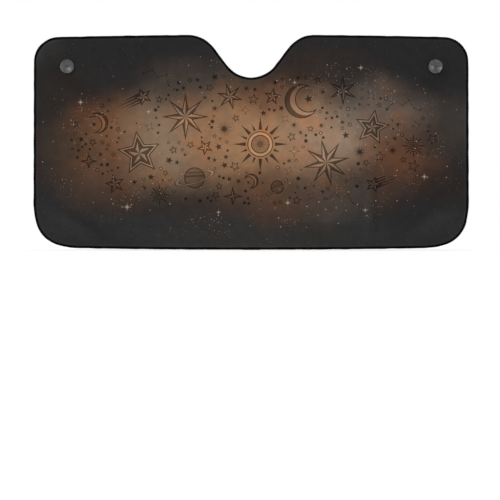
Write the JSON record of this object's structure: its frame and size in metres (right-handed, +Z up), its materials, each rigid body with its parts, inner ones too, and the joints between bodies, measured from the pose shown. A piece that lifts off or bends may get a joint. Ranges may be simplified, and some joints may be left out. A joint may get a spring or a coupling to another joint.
{
  "type": "car windscreen sunshade",
  "caption": "Flat twist-fold sunshade for a car windscreen: printed cloth with a bound wire edge, a mirror notch and turning suction cups near its upper corners.",
  "frame": {"origin": "middle of the lower edge, halfway through the depth of the whole part", "axes": "+Z up along the panel, +X to the right seen from the printed face, -Y the way the printed face and the suction cups face, towards the glass"},
  "size_m": [1.42, 0.0164, 0.7014],
  "materials": {
    "printed_cloth": "matt printed plain-weave polyester in charcoal with a warm brown band, silver-coated on its back",
    "black_tape": "matt black woven binding tape, stitched",
    "spring_steel": "drawn spring wire",
    "plated_metal": "nickel-plated pressed metal",
    "clear_vinyl": "clear soft vinyl, slightly cloudy"
  },
  "bodies": {
    "shade": {"shade_cloth": "printed_cloth", "edge_binding": "black_tape", "spring_wire": "spring_steel", "wire_ferrule": "plated_metal", "eyelet_left": "plated_metal", "eyelet_right": "plated_metal", "eyelet_washer_left": "plated_metal", "eyelet_washer_right": "plated_metal"},
    "cup_left": {"suction_cup_left": "clear_vinyl"},
    "cup_right": {"suction_cup_right": "clear_vinyl"}
  },
  "joints": [
    {"name": "cup_left_turn", "type": "hinge", "parent": "shade", "child": "cup_left", "pos_m": [-0.6, 0.0027, 0.59755], "axis": [0, -1, 0], "continuous": true},
    {"name": "cup_right_turn", "type": "hinge", "parent": "shade", "child": "cup_right", "pos_m": [0.6, 0.0027, 0.59755], "axis": [0, -1, 0], "continuous": true}
  ]
}
